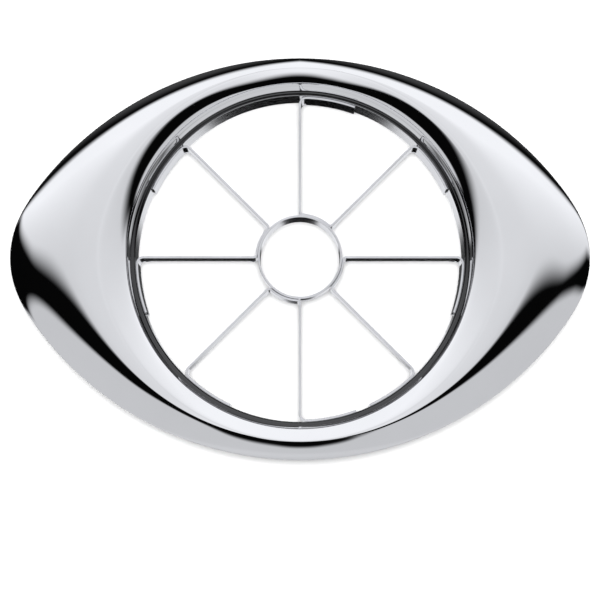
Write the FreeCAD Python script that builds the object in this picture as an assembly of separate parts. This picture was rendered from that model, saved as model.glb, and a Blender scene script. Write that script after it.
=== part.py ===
import FreeCAD, Part
import math
import os
from FreeCAD import Vector

# Apple divider: an eye-shaped polished grip frame round a cutting ring with eight blades and a core cutter.
# Millimetres. Z = 0 is the plane that the cutting ring stands on, and the ring's axis is the Z axis.
# The two grip ends lie along X.

# Grip frame, in plan
frame_length = 162.0
frame_width = 113.0
grip_end_radius = 26.5

# Grip frame, heights of the pressed shells
crest_height = 18.0
seam_height = 9.8
base_height = 8.0
shell_thickness = 1.0

# Upper shell's section: a lip at the mouth, a crest beside it, and a shoulder where the rounded edge starts
# The shoulder is edge_run inside the rim at the narrow sides, and grip_run further in at the grip tips
# The lip widens by grip_lip_width towards the grip tips
lip_width = 1.0
grip_lip_width = 0.9
lip_depth = 5.7
edge_run = 5.2
grip_run = 9.9
shoulder_fall = 0.1
grip_fall = 1.0
edge_drop = 2.8
seam_rise = 0.45

# Lower shell's section: how far in from the rim its flat base starts
under_round = 4.0

# How full the rounded parts of both sections are, as shares of the sizes above
lip_top_share = 0.65
lip_inner_share = 0.8
crown_share = 0.7
edge_turn_share = 0.5
grip_turn_share = 0.15
pan_wall_share = 0.5
pan_corner_share = 0.25
pan_corner_rise_share = 0.1
pan_foot_share = 0.6

# Cutting ring: a drawn sheet band with a flange that is clamped between the two shells
ring_bore_radius = 46.0
ring_sheet = 0.6
ring_bend_radius = 0.5
flange_width = 2.5

# Core cutter
core_outer_radius = 11.8
core_sheet = 0.6
core_height = 8.4
core_bevel_height = 1.2
core_bevel_depth = 0.4

# Blade strips: one strip is two blades joined by an arc round the core cutter
blade_count = 8
blade_sheet = 0.6
blade_depth = 7.6
cutting_edge_height = 0.4
ground_height = 1.8
ground_depth = 0.22
root_bend_radius = 0.9
tab_bend_radius = 1.8
tab_length = 14.0

# Fits: gaps of the mouth wall and of the lower shell's hole round the band, and the gap that a weld fills
mouth_clearance = 0.3
band_clearance = 0.2
weld_gap = 0.05

# How far a cut reaches past the face that it opens
cut_overlap = 0.6

# Net of the frame's smooth surfaces
net_sections = 96

tau = 2.0 * math.pi
quarter = 0.25 * tau
blade_pitch = tau / blade_count
ring_outer_radius = ring_bore_radius + ring_sheet
mouth_radius = ring_outer_radius + mouth_clearance
flange_radius = mouth_radius + flange_width
flange_base = base_height + shell_thickness
flange_top = flange_base + ring_sheet
half_sheet = 0.5 * blade_sheet
hug_radius = core_outer_radius + weld_gap + half_sheet
tab_radius = ring_bore_radius - weld_gap - half_sheet
half_length = frame_length / 2.0
half_width = frame_width / 2.0


def side_arc_radius():
    """Radius of the long side arc that meets the grip end arc without a corner."""
    end_centre = half_length - grip_end_radius
    top = end_centre ** 2 + half_width ** 2 - grip_end_radius ** 2
    return top / (2.0 * (half_width - grip_end_radius))


def ray_to_circle(angle, centre_x, centre_y, radius):
    """Distance from the axis to a circle, along a ray that starts inside it."""
    along = centre_x * math.cos(angle) + centre_y * math.sin(angle)
    across = centre_x * math.sin(angle) - centre_y * math.cos(angle)
    return along + math.sqrt(radius ** 2 - across ** 2)


def outline_radius(angle):
    """Plan radius of the frame's widest line: two long side arcs and two grip end arcs."""
    x_sign = 1.0 if math.cos(angle) >= 0 else -1.0
    y_sign = 1.0 if math.sin(angle) >= 0 else -1.0
    folded = math.atan2(abs(math.sin(angle)), abs(math.cos(angle)))
    side = side_arc_radius()
    end_centre = half_length - grip_end_radius
    side_centre = half_width - side
    joint = math.atan2(-side_centre, end_centre)
    joint_x = end_centre + grip_end_radius * math.cos(joint)
    joint_y = grip_end_radius * math.sin(joint)
    if folded < math.atan2(joint_y, joint_x):
        return ray_to_circle(folded, end_centre, 0.0, grip_end_radius)
    return ray_to_circle(folded, 0.0, side_centre, side)


def grip_share(angle):
    """0 at the narrow sides of the frame, 1 at the two grip tips."""
    return (outline_radius(angle) - half_width) / (half_length - half_width)


def upper_section(angle):
    """Control points of the upper shell's outside, from the foot of the mouth wall to the seam."""
    share = grip_share(angle)
    rim = outline_radius(angle)
    lip = lip_width + share * grip_lip_width
    crest = mouth_radius + lip
    run = edge_run + share * grip_run
    shoulder = rim - run
    shoulder_height = crest_height - shoulder_fall - share * grip_fall
    turn = (edge_turn_share - share * grip_turn_share) * run
    turn_height = shoulder_height - edge_drop
    return [
        (mouth_radius, flange_top),
        (mouth_radius, crest_height - lip_depth),
        (mouth_radius, crest_height - lip_top_share * lip_depth),
        (mouth_radius + lip_inner_share * lip, crest_height),
        (crest, crest_height),
        (0.5 * (crest + shoulder), shoulder_height + crown_share * (crest_height - shoulder_height)),
        (shoulder, shoulder_height),
        (rim - turn, turn_height),
        (rim, seam_height + seam_rise),
        (rim, seam_height),
    ]


def upper_line(angle):
    """The same section with the lip as a single corner, so that the inside of the sheet bends once there."""
    points = upper_section(angle)
    return points[:3] + points[4:]


def lower_section(angle):
    """Control points of the lower shell's outside, from the seam round to its flat base."""
    rim = outline_radius(angle)
    rise = seam_height - base_height
    return [
        (rim, seam_height),
        (rim, seam_height - pan_wall_share * rise),
        (rim - pan_corner_share * under_round, base_height + pan_corner_rise_share * rise),
        (rim - pan_foot_share * under_round, base_height),
        (rim - under_round, base_height),
    ]


def offset_section(points, distance):
    """The same section moved to the right of its direction; its end heights stay as they are."""
    moved = []
    last = len(points) - 1
    for index, (radius, height) in enumerate(points):
        before = points[max(index - 1, 0)]
        after = points[min(index + 1, last)]
        normals = []
        for start, end in ((before, (radius, height)), ((radius, height), after)):
            run = end[0] - start[0]
            rise = end[1] - start[1]
            length = math.hypot(run, rise)
            if length > 0:
                normals.append((rise / length, -run / length))
        sum_r = sum(normal[0] for normal in normals)
        sum_z = sum(normal[1] for normal in normals)
        size = math.hypot(sum_r, sum_z)
        stretch = distance * 2.0 / size ** 2 if len(normals) == 2 else distance
        moved.append((radius + sum_r * stretch, height + sum_z * stretch))
    return moved


def ring_surface(section):
    """Smooth closed surface round the Z axis through a section that changes with the angle."""
    step = tau / net_sections
    swell = 3.0 / (2.0 + math.cos(step))
    net = []
    for index in range(net_sections):
        angle = index * step
        row = []
        for radius, height in section(angle):
            reach = radius * swell
            row.append(Vector(reach * math.cos(angle), reach * math.sin(angle), height))
        net.append(row)
    spans = len(net[0]) - 3
    round_knots = [float(index) for index in range(net_sections + 1)]
    round_repeats = [1] * (net_sections + 1)
    along_knots = [float(index) for index in range(spans + 1)]
    along_repeats = [4] + [1] * (spans - 1) + [4]
    surface = Part.BSplineSurface()
    surface.buildFromPolesMultsKnots(
        net, round_repeats, along_repeats, round_knots, along_knots, True, False, 3, 3
    )
    return surface


def boundary_wire(surface, at_start):
    """The closed curve along the first or last row of a ring surface."""
    low, high = surface.bounds()[2:4]
    curve = surface.vIso(low if at_start else high)
    return Part.Wire([curve.toShape()])


def flat_ring(outer, inner):
    """Flat face between two closed curves of one height."""
    return Part.makeFace([outer, inner], "Part::FaceMakerBullseye")


def solid_from(faces):
    """Closed solid sewn from faces that meet along their edges."""
    shell = Part.makeShell(faces)
    shell.sewShape()
    solid = Part.makeSolid(Part.Shell(shell.Faces))
    if solid.Volume < 0:
        solid.reverse()
    return solid


def make_frame_top_shell():
    """Pressed upper shell: mouth wall, lip, crest, grip tops and the rounded edge down to the seam."""
    outside = ring_surface(upper_section)
    inside = ring_surface(lambda angle: offset_section(upper_line(angle), shell_thickness))
    foot = flat_ring(boundary_wire(inside, True), boundary_wire(outside, True))
    seam = flat_ring(boundary_wire(outside, False), boundary_wire(inside, False))
    return solid_from([outside.toShape(), inside.toShape(), foot, seam])


def make_frame_underside():
    """Pressed lower shell: a shallow pan that closes the frame and carries the ring's flange."""
    outside = ring_surface(lower_section)
    inside = ring_surface(lambda angle: offset_section(lower_section(angle), shell_thickness))
    seam = flat_ring(boundary_wire(outside, True), boundary_wire(inside, True))
    base = Part.Face(boundary_wire(outside, False))
    floor = Part.Face(boundary_wire(inside, False))
    pan = solid_from([outside.toShape(), inside.toShape(), seam, base, floor])
    hole_radius = ring_outer_radius + band_clearance
    hole_height = shell_thickness + 2.0 * cut_overlap
    hole = Part.makeCylinder(hole_radius, hole_height, Vector(0, 0, base_height - cut_overlap))
    return pan.cut(hole).Solids[0]


def revolve_section(points):
    """Solid of revolution about Z from a closed section; a triple of points is an arc."""
    edges = []
    for item in points:
        if len(item) == 2:
            edges.append(Part.LineSegment(*item).toShape())
        else:
            edges.append(Part.Arc(*item).toShape())
    face = Part.Face(Part.Wire(edges))
    return face.revolve(Vector(0, 0, 0), Vector(0, 0, 1), 360)


def make_cutting_ring():
    """Drawn sheet band: a straight wall with its flange turned out at the top."""
    inner = ring_bore_radius
    outer = ring_outer_radius
    bend_x = outer + ring_bend_radius
    bend_z = flange_base - ring_bend_radius
    big = ring_bend_radius + ring_sheet
    half = math.sqrt(0.5)
    return revolve_section([
        (Vector(inner, 0, 0), Vector(outer, 0, 0)),
        (Vector(outer, 0, 0), Vector(outer, 0, bend_z)),
        (
            Vector(outer, 0, bend_z),
            Vector(bend_x - ring_bend_radius * half, 0, bend_z + ring_bend_radius * half),
            Vector(bend_x, 0, flange_base),
        ),
        (Vector(bend_x, 0, flange_base), Vector(flange_radius, 0, flange_base)),
        (Vector(flange_radius, 0, flange_base), Vector(flange_radius, 0, flange_top)),
        (Vector(flange_radius, 0, flange_top), Vector(bend_x, 0, flange_top)),
        (
            Vector(bend_x, 0, flange_top),
            Vector(bend_x - big * half, 0, bend_z + big * half),
            Vector(inner, 0, bend_z),
        ),
        (Vector(inner, 0, bend_z), Vector(inner, 0, 0)),
    ])


def make_core_cutter():
    """Core ring with its lower edge ground sharp from the outside."""
    inner = core_outer_radius - core_sheet
    top = cutting_edge_height + core_height
    tip = core_outer_radius - core_bevel_depth
    corners = [
        Vector(inner, 0, cutting_edge_height),
        Vector(tip, 0, cutting_edge_height),
        Vector(core_outer_radius, 0, cutting_edge_height + core_bevel_height),
        Vector(core_outer_radius, 0, top),
        Vector(inner, 0, top),
    ]
    return revolve_section(list(zip(corners, corners[1:] + corners[:1])))


def polar(radius, angle):
    return Vector(radius * math.cos(angle), radius * math.sin(angle), 0)


def arc_piece(centre, radius, start, end, left_is_outward):
    """Arc of the strip's mid line: three points, each with the direction to the strip's left."""
    sign = 1.0 if left_is_outward else -1.0
    piece = []
    for angle in (start, 0.5 * (start + end), end):
        outward = polar(1.0, angle)
        piece.append((centre + outward * radius, outward * sign))
    return piece


def line_piece(start, end):
    """Straight run of the strip's mid line, with the direction to its left at each end."""
    along = (end - start).normalize()
    left = Vector(-along.y, along.x, 0)
    return [(start, left), (end, left)]


def blade_end(angle, turn):
    """Tab and bend at a blade's outer end, in order from the tab to the blade."""
    centre_reach = tab_radius - tab_bend_radius
    lean = math.asin(tab_bend_radius / centre_reach)
    tab_sweep = tab_length / tab_radius
    centre = polar(centre_reach, angle + turn * lean)
    tab = arc_piece(Vector(), tab_radius, angle + turn * (lean + tab_sweep), angle + turn * lean, turn < 0)
    bend = arc_piece(centre, tab_bend_radius, angle + turn * lean, angle - turn * quarter, turn < 0)
    return [tab, bend]


def blade_root(angle, turn):
    """Bend from a blade to the arc that hugs the core cutter, in order from the blade to the arc."""
    centre_reach = hug_radius + root_bend_radius
    lean = math.asin(root_bend_radius / centre_reach)
    centre = polar(centre_reach, angle + turn * lean)
    end = angle + turn * (lean - 2.0 * quarter)
    return arc_piece(centre, root_bend_radius, angle - turn * quarter, end, turn > 0)


def reversed_path(pieces):
    """The same path walked the other way, so left becomes right."""
    return [[(point, left * -1.0) for point, left in reversed(piece)] for piece in reversed(pieces)]


def joined(pieces):
    """Fill the straight runs between pieces that don't meet."""
    path = [pieces[0]]
    for piece in pieces[1:]:
        gap = piece[0][0] - path[-1][-1][0]
        if gap.Length > 1e-6:
            path.append(line_piece(path[-1][-1][0], piece[0][0]))
        path.append(piece)
    return path


def strip_path(first_angle, tab_turn):
    """Mid line of a strip: tab, blade, arc clockwise round the core cutter, blade, tab."""
    second_angle = first_angle - blade_pitch
    lean = math.asin(root_bend_radius / (hug_radius + root_bend_radius))
    way_in = blade_end(first_angle, tab_turn) + [blade_root(first_angle, -1.0)]
    hug = arc_piece(Vector(), hug_radius, first_angle - lean, second_angle + lean, True)
    way_out = reversed_path(blade_end(second_angle, tab_turn) + [blade_root(second_angle, 1.0)])
    return joined(way_in + [hug] + way_out)


def side_edge(piece, distance):
    """One side of the strip along a piece of its mid line."""
    points = [point + left * distance for point, left in piece]
    if len(points) == 2:
        return Part.LineSegment(*points).toShape()
    return Part.Arc(*points).toShape()


def ground_cut(angle, side):
    """Wedge that grinds one face of a blade to its cutting edge, one bend clear of the root and the tab."""
    inner = core_outer_radius + blade_sheet + 2.0 * root_bend_radius
    outer = ring_bore_radius - 2.0 * tab_bend_radius
    low = cutting_edge_height
    tip = side * (half_sheet - ground_depth)
    face = side * half_sheet
    clear = side * (half_sheet + cut_overlap)
    corners = [
        Vector(inner, tip, low),
        Vector(inner, face, low + ground_height),
        Vector(inner, clear, low + ground_height),
        Vector(inner, clear, low - cut_overlap),
        Vector(inner, tip, low - cut_overlap),
    ]
    wedge = Part.Face(Part.makePolygon(corners + corners[:1])).extrude(Vector(outer - inner, 0, 0))
    wedge.rotate(Vector(), Vector(0, 0, 1), math.degrees(angle))
    return wedge


def make_blade_strip(first_angle, tab_turn):
    """Two blades, their core arc and their two tabs, bent from one strip of sheet."""
    path = strip_path(first_angle, tab_turn)
    left = [side_edge(piece, half_sheet) for piece in path]
    right = [side_edge(piece, -half_sheet) for piece in path]
    start, start_left = path[0][0]
    end, end_left = path[-1][-1]
    cap_start = Part.LineSegment(start - start_left * half_sheet, start + start_left * half_sheet).toShape()
    cap_end = Part.LineSegment(end + end_left * half_sheet, end - end_left * half_sheet).toShape()
    outline = Part.Wire(Part.__sortEdges__(left + [cap_end] + right + [cap_start]))
    strip = Part.Face(outline).extrude(Vector(0, 0, blade_depth))
    strip.translate(Vector(0, 0, cutting_edge_height))
    for angle in (first_angle, first_angle - blade_pitch):
        for side in (-1.0, 1.0):
            strip = strip.cut(ground_cut(angle, side))
    return strip.Solids[0]


def build():
    """All pieces by name. Each strip is named for the side that its first blade points to."""
    return {
        "frame_top_shell": make_frame_top_shell(),
        "frame_underside": make_frame_underside(),
        "cutting_ring": make_cutting_ring(),
        "core_cutter": make_core_cutter(),
        "blade_strip_left": make_blade_strip(2.0 * quarter, 1.0),
        "blade_strip_front": make_blade_strip(3.0 * quarter, 1.0),
        "blade_strip_back": make_blade_strip(quarter, -1.0),
        "blade_strip_right": make_blade_strip(0.0, -1.0),
    }


os.makedirs("parts", exist_ok=True)
for name, piece in build().items():
    box = piece.BoundBox
    piece.exportStep("parts/" + name + ".step")
    size = "%.2f x %.2f x %.2f" % (box.XLength, box.YLength, box.ZLength)
    print(name, piece.ShapeType, len(piece.Solids), piece.isValid(), "%.1f mm3" % piece.Volume, size)
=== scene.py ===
import math

import bmesh
import bpy
from bpy.props import FloatProperty, FloatVectorProperty, IntProperty, PointerProperty
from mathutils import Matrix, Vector

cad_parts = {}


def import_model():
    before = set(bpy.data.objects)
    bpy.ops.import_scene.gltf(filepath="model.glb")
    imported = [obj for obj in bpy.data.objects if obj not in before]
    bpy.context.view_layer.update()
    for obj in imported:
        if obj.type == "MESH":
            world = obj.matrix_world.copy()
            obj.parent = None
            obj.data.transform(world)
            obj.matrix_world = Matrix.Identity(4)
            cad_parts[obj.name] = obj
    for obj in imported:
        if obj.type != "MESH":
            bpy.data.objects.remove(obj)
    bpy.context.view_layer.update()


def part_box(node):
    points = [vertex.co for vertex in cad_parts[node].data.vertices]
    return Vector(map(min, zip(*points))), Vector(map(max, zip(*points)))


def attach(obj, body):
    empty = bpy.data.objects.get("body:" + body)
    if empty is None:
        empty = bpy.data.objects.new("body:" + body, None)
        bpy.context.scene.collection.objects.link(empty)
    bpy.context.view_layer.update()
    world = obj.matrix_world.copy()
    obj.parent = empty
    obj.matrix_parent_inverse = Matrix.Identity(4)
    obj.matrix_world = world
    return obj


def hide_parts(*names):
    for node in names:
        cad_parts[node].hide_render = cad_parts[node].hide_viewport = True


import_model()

bl_info = {
    "name": "Apple Divider",
    "version": (1, 0, 0),
    "blender": (4, 5, 0),
    "location": "View3D > Sidebar > Apple Divider",
    "description": "Dresses the apple divider in polished and ground steel and sets its stage",
    "category": "Add Mesh",
}

MM = 0.001
QUARTER = 0.5 * math.pi
MERGE_DISTANCE = 0.001 * MM
TOP_LOW, TOP_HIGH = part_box("frame_top_shell")
PAN_LOW, PAN_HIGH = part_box("frame_underside")
RING_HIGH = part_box("cutting_ring")[1]
CORE_LOW, CORE_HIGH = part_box("core_cutter")
STRIP_LOW, STRIP_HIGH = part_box("blade_strip_left")

# Upper shell's inside points: the outside point that each follows, and its steps out and up, in sheets
UPPER_INSIDE = (
    (9, -1.0, 0.0),
    (9, -1.0, 0.6),
    (7, -0.6, -0.8),
    (6, 0.0, -1.0),
    (4, 0.8, -1.0),
    (2, 1.0, -0.3),
    (0, 1.0, 0.0),
)
# Lower shell's sharp points: both sides of the seam and both edges of the hole
LOWER_SHARP = (0, 6, 7, 12)
SHELL_LEVELS = 3

FLANGE_BEND_STEPS = 8
ROOT_BEND_STEPS = 10
ARC_STEPS = 14
TAB_BEND_STEPS = 12
TAB_STEPS = 14
# Which way the tabs turn, then the side of each strip and its quarter turns
STRIP_PLACES = (
    (1.0, (("left", 2.0), ("front", 3.0))),
    (-1.0, (("right", 0.0), ("back", 1.0))),
)

# Edges up to these angles, in degrees, are shaded smooth
SOFT_ANGLE = 35.0
CRISP_ANGLE = 25.0
# A strip's edges from this angle on are rounded
BEVEL_ANGLE = 60.0

# Patterns: repeats a metre, or along X, Y and Z
PATCHES = 45.0
PRESS_WAVES = 40.0
CLOUDS = 60.0
FLOOR_GRAIN = 900.0
WIPING = (220.0, 1600.0, 900.0)
WIPE_MARKS = (400.0, 5200.0, 3000.0)
SATIN_GRAIN = (180.0, 5200.0, 5200.0)
ROUND_THE_BAND = (40.0, 40.0, 4200.0)
ALONG_THE_BLADE = (90.0, 90.0, 5200.0)
UP_THE_EDGE = (5200.0, 5200.0, 200.0)

# Spans of a pattern that a tone or a roughness runs over, and how far a roughness runs either way
TONE_SPAN = (0.3, 0.7)
ROUGH_SPAN = (0.25, 0.75)
PATCH_TONE_SPAN = (0.35, 0.7)
PATCH_ROUGH_SPAN = (0.35, 0.75)
WIPING_SPAN = (0.5, 0.8)
POLISH_RANGE = (0.6, 1.3)
WIPING_RANGE = (0.0, 0.6)
SATIN_RANGE = (0.7, 1.25)
GROUND_RANGE = (0.7, 1.3)
# Half the height over which a blade's two patterns blend
EDGE_BLEND = 0.1 * MM

# Edges of the tent's cloths, in degrees from its top towards the back, over degrees across it
TENT_ACROSS = (-85.0, -60.0, -40.0, -25.0, -12.0, 0.0, 12.0, 25.0, 40.0, 60.0, 85.0)
ROOF = (44.4, 10.5, 1.8, -9.7, -45.5, -43.2, -43.9, -13.4, 1.0, -0.1, 14.0)
FRONT = (-35.5, -18.8, -42.6, -86.0, -96.4, -101.0, -96.3, -78.5, -33.9, -15.2, -18.0)
DEGREES = 180.0 / math.pi
TINY = 1.0e-9


# Sizes and colours

def length(name, description, default):
    """A length in metres that shows in scene units."""
    return FloatProperty(
        name=name,
        description=description,
        default=default,
        min=0.0,
        precision=5,
        subtype="DISTANCE",
        unit="LENGTH",
    )


def share(name, description, default):
    """A number from 0 to 1."""
    return FloatProperty(
        name=name, description=description, default=default, min=0.0, max=1.0, subtype="FACTOR"
    )


def amount(name, description, default):
    """A number that isn't below 0: a brightness, or an angle in degrees on the tent."""
    return FloatProperty(name=name, description=description, default=default, min=0.0)


def count(name, description, default, least, most):
    return IntProperty(name=name, description=description, default=default, min=least, max=most)


def colour(name, description, default):
    return FloatVectorProperty(
        name=name, description=description, default=default, size=3, min=0.0, max=1.0, subtype="COLOR"
    )


def edge_line(name, description, default):
    """Heights of a line across the tent, over TENT_ACROSS."""
    return FloatVectorProperty(name=name, description=description, default=default, size=len(TENT_ACROSS))


class GripFrameSizes(bpy.types.PropertyGroup):
    """Plan and section of the two pressed shells."""

    length: length("Length", "Length of the frame over both grip tips", 162.0 * MM)
    width: length("Width", "Width of the frame across its narrow sides", 112.97 * MM)
    grip_end_radius: length("Grip end radius", "Plan radius of the two grip tips", 26.5 * MM)
    mouth_radius: length("Mouth radius", "Radius of the wall round the mouth", 46.9 * MM)
    crest_height: length("Crest height", "Height of the crest beside the mouth", TOP_HIGH.z)
    foot_height: length("Foot height", "Height of the lower edge of the mouth wall", TOP_LOW.z)
    seam_height: length("Seam height", "Height at which the two shells meet", PAN_HIGH.z)
    base_height: length("Base height", "Height of the lower shell's flat base", PAN_LOW.z)
    shell_thickness: length("Sheet", "Thickness of the pressed sheet", 1.0 * MM)
    lip_width: length("Lip width", "Width of the rounded lip at the mouth", 4.8 * MM)
    grip_lip_width: length("Grip lip width", "How much wider the lip is towards the grip tips", 4.0 * MM)
    lip_depth: length("Lip depth", "Depth of the rounded lip at the mouth", 3.9 * MM)
    wall_lean: length("Wall lean", "How far the mouth wall leans out below the lip", 0.6 * MM)
    edge_run: length("Edge run", "How far in the rounded edge starts at the narrow sides", 5.0 * MM)
    grip_run: length("Grip run", "How much further in it starts at the grip tips", 10.5 * MM)
    shoulder_fall: length("Shoulder fall", "Drop from the crest to the shoulder", 0.04 * MM)
    grip_fall: length("Grip fall", "Further drop of the shoulder at the grip tips", 0.8 * MM)
    edge_drop: length("Edge drop", "Drop of the rounded edge past the shoulder", 2.7 * MM)
    seam_rise: length("Seam rise", "Height of the upright band above the seam", 0.45 * MM)
    under_round: length("Under round", "How far in from the rim the flat base starts", 4.0 * MM)
    lip_top_share: share("Lip top", "How full the lip is at its top", 0.56)
    lip_inner_share: share("Lip inside", "How full the lip is at its inside", 0.9)
    crown_share: share("Crown", "How much the crest carries on to the shoulder", 0.66)
    edge_turn_share: share("Edge turn", "How full the rounded edge is at the narrow sides", 0.476)
    grip_turn_share: share("Grip turn", "How much less full it is at the grip tips", 0.093)
    pan_side_share: share("Pan side", "How far down the lower shell's side is upright", 0.5)
    pan_turn_share: share("Pan turn", "How far in its rounding turns, of the under round", 0.25)
    pan_turn_rise: share("Pan turn rise", "Height of that turn, of the side's height", 0.1)
    pan_foot_share: share("Pan foot", "How far in its rounding meets the base, of the under round", 0.6)
    pan_inside_step: share("Pan inside step", "How much further in it meets the floor, in sheets", 0.3)
    pan_inside_rise: share("Pan inside rise", "Where the inside is upright, of the side's height", 0.25)
    sections: count("Sections", "Sections round the mouth", 72, 24, 96)


class CuttingSizes(bpy.types.PropertyGroup):
    """Band, core cutter and blade strips."""

    ring_bore_radius: length("Ring bore radius", "Inside radius of the cutting ring", 46.0 * MM)
    ring_sheet: length("Ring sheet", "Thickness of the cutting ring", 0.6 * MM)
    ring_bend_radius: length("Ring bend", "Inside radius of the bend under the flange", 0.5 * MM)
    flange_width: length("Flange width", "How far the flange reaches under the upper shell", 2.5 * MM)
    band_clearance: length("Band clearance", "Gap round the band in the lower shell", 0.2 * MM)
    ring_sections: count("Ring sections", "Sections round the cutting ring", 288, 48, 360)
    core_outer_radius: length("Core radius", "Outside radius of the core cutter", 11.8 * MM)
    core_sheet: length("Core sheet", "Thickness of the core cutter", 0.6 * MM)
    core_bevel_height: length("Core bevel height", "Height of the core's ground edge", 1.2 * MM)
    core_bevel_depth: length("Core bevel depth", "Depth of the core's ground edge", 0.4 * MM)
    core_sections: count("Core sections", "Sections round the core cutter", 160, 48, 360)
    blade_sheet: length("Blade sheet", "Thickness of the blades", 0.6 * MM)
    ground_height: length("Ground height", "Height of the blades' ground edge", 1.8 * MM)
    ground_depth: length("Ground depth", "How much is ground off each face at the edge", 0.22 * MM)
    root_bend_radius: length("Root bend", "Bend radius between a blade and the core cutter", 0.9 * MM)
    tab_bend_radius: length("Tab bend", "Bend radius between a blade and its tab", 1.8 * MM)
    tab_length: length("Tab length", "Length of a blade's tab on the band", 14.0 * MM)
    weld_gap: length("Weld gap", "Gap that a weld fills", 0.05 * MM)
    edge_round: length("Edge round", "Rounding of the sheet's cut edges", 0.07 * MM)
    round_share: share("Round share", "Where that rounding's middle lies on the core cutter", 0.3)


class SteelFinish(bpy.types.PropertyGroup):
    """Tone and polish of the steel."""

    polished_tone: colour("Polished tone", "Colour of the mirror-polished shell", (0.88, 0.88, 0.89))
    satin_tone: colour("Satin tone", "Colour of the satin lower shell", (0.74, 0.74, 0.75))
    band_tone: colour("Band tone", "Colour of the cutting ring", (0.78, 0.78, 0.79))
    blade_tone: colour("Blade tone", "Colour of the blades and the core cutter", (0.80, 0.80, 0.82))
    patch_tone: share("Patch tone", "Brightness of the polished shell's dull patches", 0.965)
    cloud_tone: share("Cloud tone", "Brightness of the satin shell's darker clouds", 0.9)
    drawn_tone: share("Drawn tone", "Brightness of the ring's drawing lines", 0.88)
    # Painted shade: how dark the band is painted in the shaded gap under the shell at its bent top edge
    gap_shade_tone: share("Gap shade tone", "Brightness of the painted shade in the gap at the ring's bent top edge", 0.1)
    mark_tone: share("Mark tone", "Brightness of the blades' grinding marks", 0.85)
    polish: share("Polish", "Roughness of the mirror polish", 0.035)
    satin: share("Satin", "Roughness of the satin finish", 0.24)
    drawn_low: share("Drawn smooth", "Roughness of the ring between its drawing lines", 0.06)
    drawn_high: share("Drawn rough", "Roughness of the ring's drawing lines", 0.16)
    ground: share("Ground", "Roughness of the blades' finish", 0.09)
    ripple: length("Ripple", "Depth of the slow waves that pressing leaves", 0.004 * MM)
    scratch: length("Scratch", "Depth of the finest wiping marks", 0.00025 * MM)
    satin_depth: length("Satin depth", "Depth of the satin grain", 0.002 * MM)
    drawn_depth: length("Drawn depth", "Depth of the drawing lines", 0.0012 * MM)
    mark_depth: length("Mark depth", "Depth of the grinding marks", 0.001 * MM)
    # Heights below the flange's top over which that painted gap shade fades in
    gap_shade_start: length("Gap shade start", "How far below the flange's top the painted gap shade starts", 1.1 * MM)
    gap_shade_full: length("Gap shade full", "How far below the flange's top it is darkest", 0.6 * MM)


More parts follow.
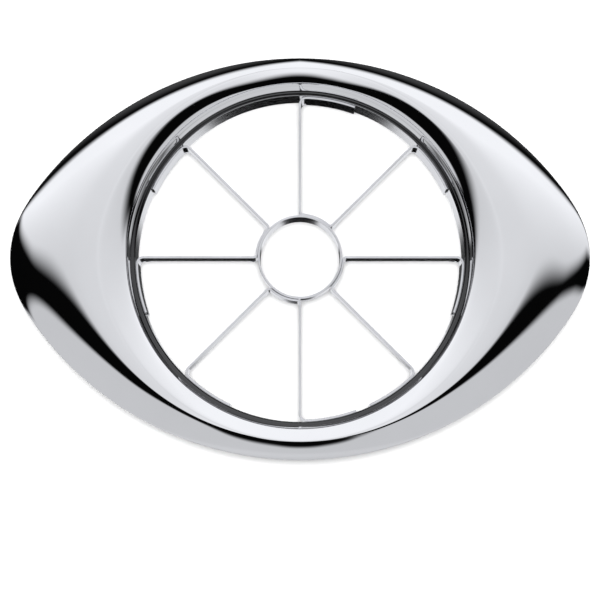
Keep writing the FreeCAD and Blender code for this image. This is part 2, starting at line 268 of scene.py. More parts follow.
class StageSettings(bpy.types.PropertyGroup):
    """Floor, light and camera."""

    floor_size: length("Floor size", "Length and width of the floor", 6.0)
    floor_tone: colour("Floor tone", "Colour of the floor", (0.93, 0.93, 0.93))
    floor_grain: share("Floor grain", "Brightness of the floor's darkest grain", 0.985)
    floor_rough: share("Floor roughness", "Roughness of the floor", 0.85)
    floor_shine: share("Floor shine", "Strength of the floor's shine", 0.1)
    camera_distance: length("Camera distance", "Distance from the camera to the mouth", 420.0 * MM)
    aim_ahead: length("Aim ahead", "How far before the mouth's middle the camera aims", 13.2 * MM)
    camera_elevation: FloatProperty(
        name="Camera elevation",
        description="Angle of the view above the floor",
        default=math.radians(83.5),
        subtype="ANGLE",
    )
    lens: amount("Lens", "Focal length in millimetres", 92.5)
    sensor: amount("Sensor", "Width of the camera's sensor in millimetres", 36.0)
    nearest: length("Nearest", "Nearest distance that the camera sees", 0.01)
    farthest: length("Farthest", "Farthest distance that the camera sees", 20.0)
    lamp_height: length("Lamp height", "Height of the overhead lamp", 1.1)
    lamp_size: length("Lamp size", "Diameter of the overhead lamp", 0.5)
    lamp_watts: amount("Lamp watts", "Power of the overhead lamp", 13.65)
    world_light: share("World light", "Brightness of the world on matt surfaces", 0.4)
    world_reflected: share("World reflected", "Brightness of the world in reflections", 0.03)
    world_seen: share("World seen", "Brightness of the world behind the floor", 0.95)
    tent_radius: length("Tent radius", "Radius of the light tent", 1.0)
    tent_tone: colour("Tent tone", "Colour of the tent's cloth", (0.955, 0.968, 1.0))
    roof_edge: edge_line("Roof edge", "Front edge of the white roof", ROOF)
    roof_soft: amount("Roof softness", "Softness of the roof's edge", 14.0)
    roof_light: amount("Roof light", "Brightness of the roof overhead", 0.66)
    roof_gain: amount("Roof gain", "How much brighter the roof gets towards the back", 0.41)
    gain_before: amount("Gain before", "How far before the top that gain starts", 5.0)
    gain_behind: amount("Gain behind", "How far behind the top that gain ends", 45.0)
    tongue_gain: amount("Tongue gain", "How much brighter the roof is above the camera", 0.36)
    tongue_width: amount("Tongue width", "Half the width of that brighter part", 20.0)
    tongue_soft: amount("Tongue softness", "Softness of its back edge", 36.0)
    back_end: amount("Back end", "How far down the white back reaches in the middle", 129.8)
    back_slope: amount("Back slope", "How fast it gets shorter towards the sides", 0.962)
    back_soft: amount("Back softness", "Softness of its lower edge", 16.4)
    back_gap: amount("Back gap", "Width of the dark gap below the white back", 24.1)
    gap_soft: amount("Gap softness", "Softness of that gap's lower edge", 28.6)
    low_start: amount("Low start", "How far back the dim cloth below the gap starts", 45.0)
    low_soft: amount("Low softness", "Softness of its front edge", 36.0)
    low_light: amount("Low light", "Brightness of that dim cloth", 0.06)
    front_edge: edge_line("Front edge", "Upper edge of the pale front cloth", FRONT)
    front_soft: amount("Front softness", "Softness of the front cloth's upper edge", 10.6)
    front_end: amount("Front end", "How far down the pale front reaches", 129.9)
    front_end_soft: amount("Front end softness", "Softness of its lower edge", 21.6)
    front_light: amount("Front light", "Brightness of the pale front", 0.65)
    under_start: amount("Under start", "Where the pale cloth below starts", 130.1)
    under_start_soft: amount("Under start softness", "Softness of its upper edge", 29.0)
    under_end: amount("Under end", "Where the pale cloth below ends", 159.0)
    under_end_soft: amount("Under end softness", "Softness of its lower edge", 7.2)
    under_front: amount("Under front", "How far to the front the pale cloth below starts", 58.6)
    under_front_soft: amount("Under front softness", "Softness of its back edge", 54.0)
    under_light: amount("Under light", "Brightness of the pale cloth below", 0.667)
    floor_start: amount("Floor cloth start", "Where the cloth on both sides below starts", 160.0)
    floor_start_soft: amount("Floor cloth softness", "Softness of its upper edge", 12.0)
    floor_front: share("Floor cloth front", "How far to the front it reaches, in tent radii", 0.105)
    floor_back: share("Floor cloth back", "How far to the back it reaches, in tent radii", 0.12)
    floor_side_soft: share("Floor cloth sides", "Softness of its front and back, in tent radii", 0.03)
    floor_light: amount("Floor cloth light", "Brightness of the cloth on both sides below", 0.85)
    gap_light: amount("Gap light", "Brightness of the dark gaps", 0.002)


# Plan and section of the grip frame

def side_arc_radius(sizes):
    """Radius of the long side arc that meets the grip end arc without a corner."""
    half_width = 0.5 * sizes.width
    end_centre = 0.5 * sizes.length - sizes.grip_end_radius
    top = end_centre ** 2 + half_width ** 2 - sizes.grip_end_radius ** 2
    return top / (2.0 * (half_width - sizes.grip_end_radius))


def ray_to_circle(angle, centre_x, centre_y, radius):
    """Distance from the axis to a circle, along a ray that starts inside it."""
    along = centre_x * math.cos(angle) + centre_y * math.sin(angle)
    across = centre_x * math.sin(angle) - centre_y * math.cos(angle)
    return along + math.sqrt(radius ** 2 - across ** 2)


def outline_radius(sizes, angle):
    """Plan radius of the frame's widest line: two long side arcs and two grip end arcs."""
    folded = math.atan2(abs(math.sin(angle)), abs(math.cos(angle)))
    end_centre = 0.5 * sizes.length - sizes.grip_end_radius
    side = side_arc_radius(sizes)
    side_centre = 0.5 * sizes.width - side
    joint = math.atan2(-side_centre, end_centre)
    joint_x = end_centre + sizes.grip_end_radius * math.cos(joint)
    joint_y = sizes.grip_end_radius * math.sin(joint)
    if folded < math.atan2(joint_y, joint_x):
        return ray_to_circle(folded, end_centre, 0.0, sizes.grip_end_radius)
    return ray_to_circle(folded, 0.0, side_centre, side)


def grip_share(sizes, angle):
    """0 at the narrow sides of the frame, 1 at the two grip tips."""
    return (outline_radius(sizes, angle) - 0.5 * sizes.width) / (0.5 * (sizes.length - sizes.width))


def upper_outside(sizes, angle):
    """Upper shell's outside, from the foot of the mouth wall to the seam."""
    part = grip_share(sizes, angle)
    rim = outline_radius(sizes, angle)
    mouth = sizes.mouth_radius
    wall = mouth + sizes.wall_lean
    lip = sizes.lip_width + part * sizes.grip_lip_width
    crest = mouth + lip
    top = sizes.crest_height
    run = sizes.edge_run + part * sizes.grip_run
    shoulder = rim - run
    turn = (sizes.edge_turn_share - part * sizes.grip_turn_share) * run
    shoulder_height = top - sizes.shoulder_fall - part * sizes.grip_fall
    crown_height = shoulder_height + sizes.crown_share * (top - shoulder_height)
    return [
        (mouth, sizes.foot_height),
        (wall, top - sizes.lip_depth),
        (wall, top - sizes.lip_top_share * sizes.lip_depth),
        (mouth + sizes.lip_inner_share * lip, top),
        (crest, top),
        (0.5 * (crest + shoulder), crown_height),
        (shoulder, shoulder_height),
        (rim - turn, shoulder_height - sizes.edge_drop),
        (rim, sizes.seam_height + sizes.seam_rise),
        (rim, sizes.seam_height),
    ]


def upper_inside(sizes, angle):
    """Upper shell's inside, back from the seam to the foot of the mouth wall."""
    outside = upper_outside(sizes, angle)
    sheet = sizes.shell_thickness
    return [
        (outside[point][0] + out * sheet, outside[point][1] + up * sheet) for point, out, up in UPPER_INSIDE
    ]


def lower_section(sizes, hole_radius, angle):
    """Lower shell: outside from the seam to the hole, then back along the inside."""
    rim = outline_radius(sizes, angle)
    seam = sizes.seam_height
    base = sizes.base_height
    rise = seam - base
    sheet = sizes.shell_thickness
    floor = base + sheet
    under = sizes.under_round
    foot = rim - sizes.pan_foot_share * under
    flat = rim - under
    half_way = 0.5 * (flat + hole_radius)
    return [
        (rim, seam),
        (rim, seam - sizes.pan_side_share * rise),
        (rim - sizes.pan_turn_share * under, base + sizes.pan_turn_rise * rise),
        (foot, base),
        (flat, base),
        (half_way, base),
        (hole_radius, base),
        (hole_radius, floor),
        (half_way, floor),
        (flat, floor),
        (foot - sizes.pan_inside_step * sheet, floor),
        (rim - sheet, floor + sizes.pan_inside_rise * rise),
        (rim - sheet, seam),
    ]


# Modelling steps

def deselect_all():
    if bpy.context.mode != "OBJECT":
        bpy.ops.object.mode_set(mode="OBJECT")
    bpy.ops.object.select_all(action="DESELECT")


def select_only(piece):
    deselect_all()
    piece.select_set(True)
    bpy.context.view_layer.objects.active = piece


def name_active(name):
    """Names the new object and its mesh."""
    made = bpy.context.active_object
    made.name = name
    made.data.name = name
    return made


def close_mesh():
    """Joins meeting vertices, turns the faces outwards and leaves edit mode."""
    bpy.ops.mesh.select_all(action="SELECT")
    bpy.ops.mesh.remove_doubles(threshold=MERGE_DISTANCE)
    bpy.ops.mesh.normals_make_consistent(inside=False)
    bpy.ops.object.mode_set(mode="OBJECT")


def net_swell(sections):
    """How far the net lies outside the smooth surface round the axis that it makes."""
    return 3.0 / (2.0 + math.cos(4.0 * QUARTER / sections))


def place_selected_ring(piece, section, index, swell):
    """Moves each vertex of the selected ring to its place on the section at its own angle."""
    mesh = bmesh.from_edit_mesh(piece.data)
    for vert in mesh.verts:
        if vert.select:
            angle = math.atan2(vert.co.y, vert.co.x)
            radius, height = section(angle)[index]
            vert.co = Vector((radius * swell * math.cos(angle), radius * swell * math.sin(angle), height))
    bmesh.update_edit_mesh(piece.data)


def grow_rings(name, sections, section, sharp_rings=(), swell=1.0):
    """Extrudes a circle ring by ring along a closed section, and joins the last ring to the first."""
    deselect_all()
    rings = len(section(0.0))
    radius, height = section(0.0)[0]
    bpy.ops.mesh.primitive_circle_add(vertices=sections, radius=radius, location=(0.0, 0.0, height))
    piece = name_active(name)
    bpy.ops.object.transform_apply(location=True, rotation=False, scale=False)
    bpy.ops.object.mode_set(mode="EDIT")
    bpy.ops.mesh.select_mode(type="VERT")
    bpy.ops.mesh.select_all(action="SELECT")
    for step in range(rings + 1):
        index = step % rings
        if step:
            bpy.ops.mesh.extrude_edges_move()
        place_selected_ring(piece, section, index, swell)
        bpy.ops.transform.edge_crease(value=1.0 if index in sharp_rings else -1.0)
    close_mesh()
    return piece


def apply_modifier(piece, kind, **settings):
    modifier = piece.modifiers.new(kind.title(), kind)
    for key, value in settings.items():
        setattr(modifier, key, value)
    bpy.context.view_layer.objects.active = piece
    bpy.ops.object.modifier_apply(modifier=modifier.name)


def subdivide_shell(piece):
    apply_modifier(piece, "SUBSURF", levels=SHELL_LEVELS, render_levels=SHELL_LEVELS)


def shade(piece, angle):
    """Shades edges up to the angle smooth and keeps the rest sharp."""
    select_only(piece)
    bpy.ops.object.shade_smooth_by_angle(angle=math.radians(angle), keep_sharp_edges=True)


def keep_faces_flat(piece):
    """Lets the large faces of cut sheet set the shading, so that rounded edges don't bend it."""
    apply_modifier(piece, "WEIGHTED_NORMAL", mode="FACE_AREA", weight=100, keep_sharp=True)


def seat(piece, node, material):
    """Gives the piece its finish and seats it in place of its solid."""
    piece.data.materials.clear()
    piece.data.materials.append(material)
    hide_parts(node)
    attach(piece, "root")


# Steel finishes

class Recipe:
    """Short hand for wiring a material's nodes."""

    def __init__(self, name, metallic=0.0):
        self.material = bpy.data.materials.new(name)
        self.material.use_nodes = True
        self.tree = self.material.node_tree
        self.shader = self.tree.nodes["Principled BSDF"]
        self.shader.inputs["Metallic"].default_value = metallic
        self.place = self.node("ShaderNodeTexCoord").outputs["Object"]

    def node(self, kind, **settings):
        made = self.tree.nodes.new(kind)
        for key, value in settings.items():
            setattr(made, key, value)
        return made

    def join(self, source, target):
        self.tree.links.new(source, target)

    def finish(self, name, source):
        """Joins an output to one of the shader's inputs."""
        self.join(source, self.shader.inputs[name])

    def axes(self, vector):
        split = self.node("ShaderNodeSeparateXYZ")
        self.join(vector, split.inputs["Vector"])
        return [split.outputs[axis] for axis in "XYZ"]

    def stretch(self, scale, vector):
        """Coordinates scaled by a vector, so that a pattern runs longer one way."""
        mapping = self.node("ShaderNodeMapping", vector_type="POINT")
        mapping.inputs["Scale"].default_value = scale
        self.join(vector, mapping.inputs["Vector"])
        return mapping.outputs["Vector"]

    def noise(self, vector, scale=1.0, detail=3.0, roughness=0.5):
        made = self.node("ShaderNodeTexNoise")
        made.inputs["Scale"].default_value = scale
        made.inputs["Detail"].default_value = detail
        made.inputs["Roughness"].default_value = roughness
        self.join(vector, made.inputs["Vector"])
        return made.outputs["Fac"]

    def ranged(self, source, span, to_span=(0.0, 1.0), kind="LINEAR"):
        """Carries a span of values over to another."""
        made = self.node("ShaderNodeMapRange", interpolation_type=kind)
        for name, value in zip(("From Min", "From Max", "To Min", "To Max"), (*span, *to_span)):
            made.inputs[name].default_value = value
        self.join(source, made.inputs["Value"])
        return made.outputs["Result"]

    def maths(self, operation, first, second=0.0):
        """Result of an operation on numbers or outputs."""
        made = self.node("ShaderNodeMath", operation=operation)
        for socket, source in zip(made.inputs, (first, second)):
            if isinstance(source, float):
                socket.default_value = source
            else:
                self.join(source, socket)
        return made.outputs[0]

    def plus(self, first, second):
        return self.maths("ADD", first, second)

    def minus(self, first, second):
        return self.maths("SUBTRACT", first, second)

    def times(self, first, second):
        return self.maths("MULTIPLY", first, second)

    def tone(self, factor, first, second):
        """Colour between two others, each a colour or an output."""
        made = self.node("ShaderNodeMix", data_type="RGBA")
        self.join(factor, made.inputs["Factor"])
        for name, source in (("A", first), ("B", second)):
            if isinstance(source, bpy.types.NodeSocket):
                self.join(source, made.inputs[name])
            else:
                made.inputs[name].default_value = (*source, 1.0)
        return made.outputs["Result"]

    def bump(self, height, distance, below=None):
        made = self.node("ShaderNodeBump")
        made.inputs["Strength"].default_value = 1.0
        made.inputs["Distance"].default_value = distance
        self.join(height, made.inputs["Height"])
        if below is not None:
            self.join(below, made.inputs["Normal"])
        return made.outputs["Normal"]


def darker(tone, by):
    return tuple(part * by for part in tone)


def scaled(span, by):
    return tuple(part * by for part in span)


def polished_steel(finish):
    """Mirror polish with slow press waves, faint wiping marks and a few dull patches."""
    recipe = Recipe("polished_steel", 1.0)
    patches = recipe.noise(recipe.place, PATCHES, 4.0)
    tint = recipe.ranged(patches, PATCH_TONE_SPAN)
    dull = darker(finish.polished_tone, finish.patch_tone)
    recipe.finish("Base Color", recipe.tone(tint, finish.polished_tone, dull))
    wiped = recipe.noise(recipe.stretch(WIPING, recipe.place), detail=2.0)
    rough = recipe.plus(
        recipe.ranged(patches, PATCH_ROUGH_SPAN, scaled(POLISH_RANGE, finish.polish)),
        recipe.ranged(wiped, WIPING_SPAN, scaled(WIPING_RANGE, finish.polish)),
    )
    recipe.finish("Roughness", rough)
    waves = recipe.noise(recipe.place, PRESS_WAVES, 1.0)
    marks = recipe.noise(recipe.stretch(WIPE_MARKS, recipe.place), detail=2.0)
    recipe.finish("Normal", recipe.bump(marks, finish.scratch, recipe.bump(waves, finish.ripple)))
    return recipe.material


def satin_steel(finish):
    """Satin sheet with a fine even grain and soft cloudy tone."""
    recipe = Recipe("satin_steel", 1.0)
    clouds = recipe.ranged(recipe.noise(recipe.place, CLOUDS, 4.0), TONE_SPAN)
    dark = darker(finish.satin_tone, finish.cloud_tone)
    recipe.finish("Base Color", recipe.tone(clouds, finish.satin_tone, dark))
    grain = recipe.noise(recipe.stretch(SATIN_GRAIN, recipe.place))
    recipe.finish("Roughness", recipe.ranged(grain, ROUGH_SPAN, scaled(SATIN_RANGE, finish.satin)))
    recipe.finish("Normal", recipe.bump(grain, finish.satin_depth))
    return recipe.material


def turned_lines(recipe):
    """Lines that run round the axis, on walls and on flat rings alike."""
    x, y, z = recipe.axes(recipe.place)
    out = recipe.maths("POWER", recipe.plus(recipe.times(x, x), recipe.times(y, y)), 0.5)
    join = recipe.node("ShaderNodeCombineXYZ")
    for axis, source in zip("XYZ", (x, y, recipe.plus(out, z))):
        recipe.join(source, join.inputs[axis])
    return recipe.noise(recipe.stretch(ROUND_THE_BAND, join.outputs["Vector"]), roughness=0.6)


def band_steel(finish):
    """Bright drawn sheet with fine drawing lines round it, and painted shade just below its bent top edge,
    where the gap under the shell lies in shade.
    """
    recipe = Recipe("band_steel", 1.0)
    lines = turned_lines(recipe)
    dark_line = darker(finish.band_tone, finish.drawn_tone)
    drawn = recipe.tone(recipe.ranged(lines, TONE_SPAN), finish.band_tone, dark_line)
    height = recipe.axes(recipe.place)[2]
    # Painted shade: just below the bent top edge the base colour goes nearly black, standing in for the shade
    # in the gap under the shell
    joint = recipe.ranged(height, (RING_HIGH.z - finish.gap_shade_start, RING_HIGH.z - finish.gap_shade_full))
    recipe.finish("Base Color", recipe.tone(joint, drawn, darker(finish.band_tone, finish.gap_shade_tone)))
    recipe.finish("Roughness", recipe.ranged(lines, ROUGH_SPAN, (finish.drawn_low, finish.drawn_high)))
    recipe.finish("Normal", recipe.bump(lines, finish.drawn_depth))
    return recipe.material


def ground_steel(finish, ground_top):
    """Ground sheet: lines along the blade, and upright grinding marks on the cutting edge."""
    recipe = Recipe("ground_steel", 1.0)
    along = recipe.noise(recipe.stretch(ALONG_THE_BLADE, recipe.place), roughness=0.6)
    upright = recipe.noise(recipe.stretch(UP_THE_EDGE, recipe.place), roughness=0.6)
    height = recipe.axes(recipe.place)[2]
    on_edge = recipe.ranged(height, (ground_top - EDGE_BLEND, ground_top + EDGE_BLEND), (1.0, 0.0))
    lines = recipe.node("ShaderNodeMix", data_type="FLOAT")
    for name, source in (("Factor", on_edge), ("A", along), ("B", upright)):
        recipe.join(source, lines.inputs[name])
    pattern = lines.outputs["Result"]
    dark = darker(finish.blade_tone, finish.mark_tone)
    recipe.finish("Base Color", recipe.tone(recipe.ranged(pattern, TONE_SPAN), finish.blade_tone, dark))
    recipe.finish("Roughness", recipe.ranged(pattern, ROUGH_SPAN, scaled(GROUND_RANGE, finish.ground)))
    recipe.finish("Normal", recipe.bump(pattern, finish.mark_depth))
    return recipe.material


def blade_material(scene):
    """The ground finish, made the first time it is asked for."""
    ground_top = STRIP_LOW.z + scene.divider_cutting.ground_height
    return bpy.data.materials.get("ground_steel") or ground_steel(scene.divider_finish, ground_top)


# Shells, band and core cutter

class DIVIDER_OT_upper_shell(bpy.types.Operator):
    """Polished upper shell with its rounded lip, crest and grip tips"""

    bl_idname = "divider.upper_shell"
    bl_label = "Upper shell"

    def execute(self, context):
        sizes = context.scene.divider_frame
        outside = len(upper_outside(sizes, 0.0))
        last = outside + len(UPPER_INSIDE) - 1
        piece = grow_rings(
            "upper_shell",
            sizes.sections,
            lambda angle: upper_outside(sizes, angle) + upper_inside(sizes, angle),
            (0, outside - 1, outside, last),
            net_swell(sizes.sections),
        )
        subdivide_shell(piece)
        shade(piece, SOFT_ANGLE)
        seat(piece, "frame_top_shell", polished_steel(context.scene.divider_finish))
        return {"FINISHED"}


class DIVIDER_OT_lower_shell(bpy.types.Operator):
    """Satin lower shell: a shallow pan with the hole that the band goes through"""

    bl_idname = "divider.lower_shell"
    bl_label = "Lower shell"

    def execute(self, context):
        sizes = context.scene.divider_frame
        cutting = context.scene.divider_cutting
        hole = cutting.ring_bore_radius + cutting.ring_sheet + cutting.band_clearance
        piece = grow_rings(
            "lower_shell",
            sizes.sections,
            lambda angle: lower_section(sizes, hole, angle),
            LOWER_SHARP,
            net_swell(sizes.sections),
        )
        subdivide_shell(piece)
        shade(piece, SOFT_ANGLE)
        seat(piece, "frame_underside", satin_steel(context.scene.divider_finish))
        return {"FINISHED"}


class DIVIDER_OT_cutting_ring(bpy.types.Operator):
    """Drawn band with its turned-out flange"""

    bl_idname = "divider.cutting_ring"
    bl_label = "Cutting ring"

    def execute(self, context):
        cutting = context.scene.divider_cutting
        inner = cutting.ring_bore_radius
        outer = inner + cutting.ring_sheet
        edge = cutting.edge_round
        top = RING_HIGH.z
        under = top - cutting.ring_sheet
        bend = cutting.ring_bend_radius
        big = bend + cutting.ring_sheet
        centre = outer + bend
        reach = context.scene.divider_frame.mouth_radius + cutting.flange_width
        turn = [QUARTER * step / FLANGE_BEND_STEPS for step in range(FLANGE_BEND_STEPS + 1)]
        profile = [(inner + edge, 0.0), (outer - edge, 0.0), (outer, edge)]
        profile += [(centre - bend * math.cos(a), under - bend * (1.0 - math.sin(a))) for a in turn]
        profile += [(reach - edge, under), (reach, under + edge), (reach, top - edge), (reach - edge, top)]
        profile += [(centre - big * math.sin(a), top - big * (1.0 - math.cos(a))) for a in turn]
        profile += [(inner, edge)]
        piece = grow_rings("cutting_band", cutting.ring_sections, lambda angle: profile)
        shade(piece, SOFT_ANGLE)
        keep_faces_flat(piece)
        seat(piece, "cutting_ring", band_steel(context.scene.divider_finish))
        return {"FINISHED"}


class DIVIDER_OT_core_cutter(bpy.types.Operator):
    """Core cutter with its lower edge ground from the outside"""

    bl_idname = "divider.core_cutter"
    bl_label = "Core cutter"

    def execute(self, context):
        cutting = context.scene.divider_cutting
        outer = cutting.core_outer_radius
        inner = outer - cutting.core_sheet
        edge = cutting.edge_round
        part = cutting.round_share * edge
        low = CORE_LOW.z
        top = CORE_HIGH.z
        middle = 0.5 * (low + top)
        profile = [
            (inner, low),
            (outer - cutting.core_bevel_depth, low),
            (outer, low + cutting.core_bevel_height),
            (outer, middle),
            (outer, top - edge),
            (outer - part, top - part),
            (outer - edge, top),
            (inner + edge, top),
            (inner + part, top - part),
            (inner, top - edge),
            (inner, middle),
        ]
        piece = grow_rings("core_ring", cutting.core_sections, lambda angle: profile)
        shade(piece, CRISP_ANGLE)
        keep_faces_flat(piece)
        seat(piece, "core_cutter", blade_material(context.scene))
        return {"FINISHED"}


# Blade strips

def select_where(piece, test):
    """Selects the vertices that pass the test, and the edges and faces between them."""
    bpy.ops.mesh.select_mode(type="VERT")
    bpy.ops.mesh.select_all(action="DESELECT")
    mesh = bmesh.from_edit_mesh(piece.data)
    for vert in mesh.verts:
        vert.select = test(vert.co)
    mesh.select_flush(True)
    bmesh.update_edit_mesh(piece.data)


def spin_end(centre, sweep, steps):
    """Bends the selected end edges round an upright line, anticlockwise for a positive sweep."""
    bpy.ops.mesh.spin(steps=steps, angle=-sweep, center=centre, axis=(0.0, 0.0, 1.0))


def push_end(move):
    """Draws the selected end edges straight on."""
    bpy.ops.mesh.extrude_region_move(TRANSFORM_OT_translate={"value": move})


def grind_edges(piece, ways, start, end, height, cutting):
    """Thins the blades that run along the given ways, between start and end and below the height."""
    mesh = bmesh.from_edit_mesh(piece.data)
    for vert in mesh.verts:
        for way in ways:
            reach = vert.co.x * way.x + vert.co.y * way.y
            across = vert.co.y * way.x - vert.co.x * way.y
            if vert.co.z < height and abs(across) < cutting.blade_sheet and start < reach < end:
                side = 1.0 if across > 0.0 else -1.0
                vert.co.x += way.y * side * cutting.ground_depth
                vert.co.y -= way.x * side * cutting.ground_depth
    bmesh.update_edit_mesh(piece.data)


def bend_strip(name, cutting, pitch, tab_turn):
    """One strip: a blade along +X, the arc round the core, and the next blade clockwise from it."""
    half = 0.5 * cutting.blade_sheet
    hug = cutting.core_outer_radius + cutting.weld_gap + half
    tab = cutting.ring_bore_radius - cutting.weld_gap - half
    low = STRIP_LOW.z
    top = STRIP_HIGH.z
    ground = low + cutting.ground_height
    low_middle = 0.5 * (low + ground)
    start = cutting.core_outer_radius + cutting.blade_sheet + 2.0 * cutting.root_bend_radius
    end = cutting.ring_bore_radius - 2.0 * cutting.tab_bend_radius
    middle = 0.5 * (start + end)
    fade = cutting.ground_height / 3.0
    straight = end - start - 2.0 * fade

    tab_lean = math.asin(cutting.tab_bend_radius / (tab - cutting.tab_bend_radius))
    tab_reach = (tab - cutting.tab_bend_radius) * math.cos(tab_lean)
    root_lean = math.asin(cutting.root_bend_radius / (hug + cutting.root_bend_radius))
    root_reach = (hug + cutting.root_bend_radius) * math.cos(root_lean)
    ahead = Vector((1.0, 0.0, 0.0))
    along = Vector((math.cos(-pitch), math.sin(-pitch), 0.0))
    left = Vector((-along.y, along.x, 0.0))
    axis = (0.0, 0.0, 0.0)

    def bend_tab(centre):
        """Bends a tab off a blade's outer end and rolls it along the band."""
        spin_end(centre, tab_turn * (QUARTER + tab_lean), TAB_BEND_STEPS)
        spin_end(axis, tab_turn * cutting.tab_length / tab, TAB_STEPS)

    deselect_all()
    centre = (middle, 0.0, low_middle)
    bpy.ops.mesh.primitive_plane_add(size=1.0, location=centre, rotation=(QUARTER, 0.0, 0.0))
    piece = name_active(name)
    bpy.ops.object.transform_apply(location=True, rotation=True, scale=True)
    bpy.ops.object.mode_set(mode="EDIT")
    bpy.ops.mesh.select_all(action="SELECT")
    bpy.ops.transform.resize(value=(straight, 1.0, ground - low), center_override=centre)
    select_where(piece, lambda co: co.z > low_middle)
    push_end((0.0, 0.0, top - ground))

    select_where(piece, lambda co: co.x > middle)
    push_end((fade, 0.0, 0.0))
    push_end((tab_reach - end, 0.0, 0.0))
    bend_tab((tab_reach, tab_turn * cutting.tab_bend_radius, 0.0))

    select_where(piece, lambda co: abs(co.y) < half and co.x < start + 2.0 * fade)
    push_end((-fade, 0.0, 0.0))
    push_end((root_reach - start, 0.0, 0.0))
    spin_end((root_reach, -cutting.root_bend_radius, 0.0), QUARTER - root_lean, ROOT_BEND_STEPS)
    spin_end(axis, -(pitch - 2.0 * root_lean), ARC_STEPS)
    root_centre = root_reach * along + cutting.root_bend_radius * left
    spin_end(root_centre, QUARTER - root_lean, ROOT_BEND_STEPS)
    for reach in (start - root_reach, fade, straight, fade, tab_reach - end):
        push_end(reach * along)
    bend_tab(tab_reach * along + tab_turn * cutting.tab_bend_radius * left)
    close_mesh()
    apply_modifier(piece, "SOLIDIFY", thickness=cutting.blade_sheet, offset=0.0, use_even_offset=True)

    bpy.ops.object.mode_set(mode="EDIT")
    grind_edges(piece, (ahead, along), start + 0.5 * fade, end - 0.5 * fade, low_middle, cutting)
    select_where(piece, lambda co: abs(co.z - ground) < 10.0 * MERGE_DISTANCE)
    bpy.ops.mesh.mark_sharp()
    bpy.ops.object.mode_set(mode="OBJECT")
    apply_modifier(
        piece,
        "BEVEL",
        width=cutting.edge_round,
        segments=2,
        limit_method="ANGLE",
        angle_limit=math.radians(BEVEL_ANGLE),
    )
    return piece


class DIVIDER_OT_blade_strips(bpy.types.Operator):
    """Four strips of two blades each, bent round the core cutter"""

    bl_idname = "divider.blade_strips"
    bl_label = "Blade strips"

    def execute(self, context):
        material = blade_material(context.scene)
        for tab_turn, strips in STRIP_PLACES:
            first = bend_strip("bent_strip", context.scene.divider_cutting, 0.5 * QUARTER, tab_turn)
            for side, quarters in strips:
                select_only(first)
                bpy.ops.object.duplicate(linked=False)
                piece = name_active("blades_" + side)
                piece.rotation_euler.z = quarters * QUARTER
                bpy.ops.object.transform_apply(location=True, rotation=True, scale=True)
                shade(piece, CRISP_ANGLE)
                keep_faces_flat(piece)
                seat(piece, "blade_strip_" + side, material)
            bpy.data.objects.remove(first)
        return {"FINISHED"}


# Stage

def floor_material(stage):
    """Matt floor with a very faint grain."""
    recipe = Recipe("pale_floor")
    grain = recipe.noise(recipe.place, FLOOR_GRAIN, 2.0)
    dark = darker(stage.floor_tone, stage.floor_grain)
    recipe.finish("Base Color", recipe.tone(grain, dark, stage.floor_tone))
    recipe.shader.inputs["Roughness"].default_value = stage.floor_rough
    recipe.shader.inputs["Specular IOR Level"].default_value = stage.floor_shine
    return recipe.material


def add_floor(stage):
    """Level floor that lies under the part and doesn't show in reflections."""
    deselect_all()
    bpy.ops.mesh.primitive_plane_add(size=stage.floor_size)
    floor = name_active("floor")
    floor.data.materials.append(floor_material(stage))
    floor.visible_glossy = False


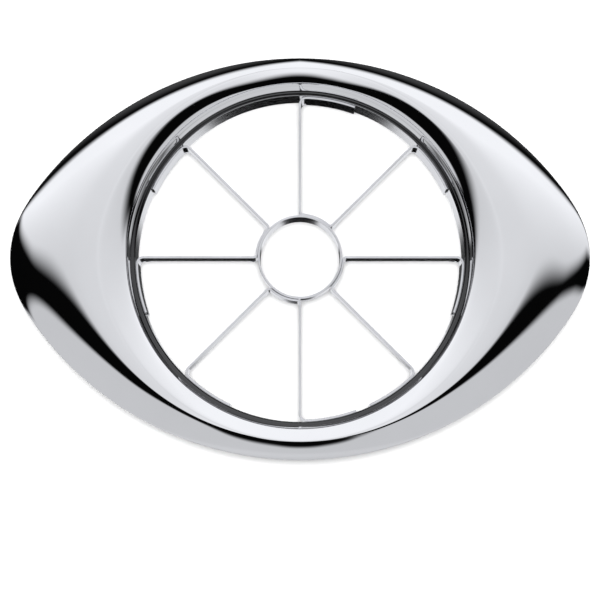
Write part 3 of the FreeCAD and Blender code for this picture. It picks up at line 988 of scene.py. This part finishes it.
def tent_cloth(stage):
    """Glow of the tent: a white roof and back, pale cloth in front and below, and dark gaps between them.

    A direction is read as degrees down from the top, split into degrees across the tent and towards its back.
    """
    recipe = Recipe("tent_cloth")
    plus, minus, times = recipe.plus, recipe.minus, recipe.times
    unit = recipe.node("ShaderNodeVectorMath", operation="NORMALIZE")
    recipe.join(recipe.place, unit.inputs[0])
    x, y, z = recipe.axes(unit.outputs["Vector"])
    down = times(recipe.maths("ARCCOSINE", z), DEGREES)
    level = recipe.maths("POWER", plus(plus(times(x, x), times(y, y)), TINY), 0.5)
    per = recipe.maths("DIVIDE", down, level)
    across = times(x, per)
    ahead = times(y, per)

    def edge(heights):
        """Line through the heights given over TENT_ACROSS."""
        first, last = TENT_ACROSS[0], TENT_ACROSS[-1]
        low, high = min(heights), max(heights)
        spots = [
            ((place - first) / (last - first), (height - low) / (high - low))
            for place, height in zip(TENT_ACROSS, heights)
        ]
        made = recipe.node("ShaderNodeFloatCurve")
        points = made.mapping.curves[0].points
        points[0].location = spots[0]
        points[1].location = spots[-1]
        for spot in spots[1:-1]:
            points.new(*spot)
        made.mapping.update()
        recipe.join(recipe.ranged(across, (first, last)), made.inputs["Value"])
        return recipe.ranged(made.outputs["Value"], (0.0, 1.0), (low, high))

    def past(value, limit, softness):
        """0 before the limit and 1 past it, over a soft edge."""
        return recipe.ranged(minus(value, limit), (-0.5 * softness, 0.5 * softness), kind="SMOOTHSTEP")

    def before(value, limit, softness):
        """1 before the limit and 0 past it, over a soft edge."""
        return recipe.ranged(minus(limit, value), (-0.5 * softness, 0.5 * softness), kind="SMOOTHSTEP")

    back_edge = minus(stage.back_end, times(recipe.maths("ABSOLUTE", across), stage.back_slope))
    roof = times(
        past(ahead, edge(stage.roof_edge), stage.roof_soft),
        before(ahead, back_edge, stage.back_soft),
    )
    low_cloth = times(
        past(minus(ahead, back_edge), stage.back_gap, stage.gap_soft),
        past(ahead, stage.low_start, stage.low_soft),
    )
    front = times(
        before(ahead, edge(stage.front_edge), stage.front_soft),
        before(down, stage.front_end, stage.front_end_soft),
    )
    under = times(
        past(down, stage.under_start, stage.under_start_soft),
        before(down, stage.under_end, stage.under_end_soft),
    )
    under = times(under, before(ahead, -stage.under_front, stage.under_front_soft))
    sides = times(
        past(y, -stage.floor_front, stage.floor_side_soft),
        before(y, stage.floor_back, stage.floor_side_soft),
    )
    floor_cloth = times(sides, past(down, stage.floor_start, stage.floor_start_soft))

    rise = recipe.ranged(
        ahead,
        (-stage.gain_before, stage.gain_behind),
        (stage.roof_light, stage.roof_light + stage.roof_gain),
    )
    off = recipe.maths("DIVIDE", across, stage.tongue_width)
    bell = recipe.maths("EXPONENT", times(times(off, off), -1.0))
    tongue = times(bell, before(ahead, 0.0, stage.tongue_soft))
    roof_glow = plus(rise, times(tongue, stage.tongue_gain))
    glow = plus(times(roof, roof_glow), stage.gap_light)
    for zone, light in (
        (front, stage.front_light),
        (low_cloth, stage.low_light),
        (under, stage.under_light),
        (floor_cloth, stage.floor_light),
    ):
        glow = plus(glow, times(zone, light))
    shader = recipe.shader
    shader.inputs["Base Color"].default_value = (0.0, 0.0, 0.0, 1.0)
    shader.inputs["Specular IOR Level"].default_value = 0.0
    shader.inputs["Emission Color"].default_value = (*stage.tent_tone, 1.0)
    recipe.finish("Emission Strength", glow)
    return recipe.material


def add_tent(stage):
    """Light tent round the part that shows only in reflections."""
    deselect_all()
    bpy.ops.mesh.primitive_uv_sphere_add(segments=96, ring_count=48, radius=stage.tent_radius)
    tent = name_active("light_tent")
    tent.data.materials.append(tent_cloth(stage))
    tent.visible_camera = False
    tent.visible_diffuse = False
    tent.visible_shadow = False


def add_lamp(stage):
    """Round lamp overhead that lights the floor and doesn't show in reflections."""
    bpy.ops.object.light_add(type="AREA", location=(0.0, 0.0, stage.lamp_height))
    lamp = bpy.context.active_object
    lamp.name = "overhead_light"
    lamp.data.shape = "DISK"
    lamp.data.size = stage.lamp_size
    lamp.data.energy = stage.lamp_watts
    lamp.visible_glossy = False


def studio_world(stage):
    """Plain world with its own brightness for matt surfaces, for reflections and for the camera."""
    world = bpy.data.worlds.new("studio")
    world.use_nodes = True
    nodes = world.node_tree.nodes
    links = world.node_tree.links
    nodes.remove(nodes["Background"])
    rays = nodes.new("ShaderNodeLightPath")

    def background(level):
        made = nodes.new("ShaderNodeBackground")
        made.inputs["Color"].default_value = (level, level, level, 1.0)
        return made.outputs[0]

    shown = background(stage.world_light)
    for ray, level in (("Is Glossy Ray", stage.world_reflected), ("Is Camera Ray", stage.world_seen)):
        mix = nodes.new("ShaderNodeMixShader")
        for socket, source in zip(mix.inputs, (rays.outputs[ray], shown, background(level))):
            links.new(source, socket)
        shown = mix.outputs[0]
    links.new(shown, nodes["World Output"].inputs["Surface"])
    return world


def add_camera(stage):
    aim = Vector((0.0, -stage.aim_ahead, TOP_HIGH.z))
    back = Vector((0.0, -math.cos(stage.camera_elevation), math.sin(stage.camera_elevation)))
    bpy.ops.object.camera_add(location=aim + back * stage.camera_distance)
    camera = bpy.context.active_object
    camera.name = "photo_camera"
    camera.rotation_euler = (-back).to_track_quat("-Z", "Y").to_euler()
    camera.data.sensor_width = stage.sensor
    camera.data.lens = stage.lens
    camera.data.clip_start = stage.nearest
    camera.data.clip_end = stage.farthest
    return camera


class DIVIDER_OT_stage(bpy.types.Operator):
    """Pale floor, light tent, overhead light and the camera"""

    bl_idname = "divider.stage"
    bl_label = "Stage"

    def execute(self, context):
        scene = context.scene
        stage = scene.divider_stage
        add_floor(stage)
        add_tent(stage)
        add_lamp(stage)
        scene.world = studio_world(stage)
        scene.view_settings.view_transform = "Standard"
        scene.camera = add_camera(stage)
        return {"FINISHED"}


# Panel and registration

class DIVIDER_PT_panel(bpy.types.Panel):
    """Sidebar panel with the sizes and the steps"""

    bl_idname = "DIVIDER_PT_panel"
    bl_label = "Apple Divider"
    bl_space_type = "VIEW_3D"
    bl_region_type = "UI"
    bl_category = "Apple Divider"

    def draw(self, context):
        layout = self.layout
        for step in STEPS:
            layout.operator(step.bl_idname)
        for name in GROUPS:
            group = getattr(context.scene, name)
            box = layout.box()
            for key in group.__annotations__:
                box.prop(group, key)


GROUPS = {
    "divider_frame": GripFrameSizes,
    "divider_cutting": CuttingSizes,
    "divider_finish": SteelFinish,
    "divider_stage": StageSettings,
}
STEPS = (
    DIVIDER_OT_upper_shell,
    DIVIDER_OT_lower_shell,
    DIVIDER_OT_cutting_ring,
    DIVIDER_OT_core_cutter,
    DIVIDER_OT_blade_strips,
    DIVIDER_OT_stage,
)


def register():
    for group in GROUPS.values():
        bpy.utils.register_class(group)
    for step in (*STEPS, DIVIDER_PT_panel):
        bpy.utils.register_class(step)
    for name, group in GROUPS.items():
        setattr(bpy.types.Scene, name, PointerProperty(type=group))


def unregister():
    for name in GROUPS:
        delattr(bpy.types.Scene, name)
    for step in (DIVIDER_PT_panel, *reversed(STEPS)):
        bpy.utils.unregister_class(step)
    for group in GROUPS.values():
        bpy.utils.unregister_class(group)


def main():
    register()
    bpy.ops.divider.upper_shell()
    bpy.ops.divider.lower_shell()
    bpy.ops.divider.cutting_ring()
    bpy.ops.divider.core_cutter()
    bpy.ops.divider.blade_strips()
    bpy.ops.divider.stage()


if __name__ == "__main__":
    main()
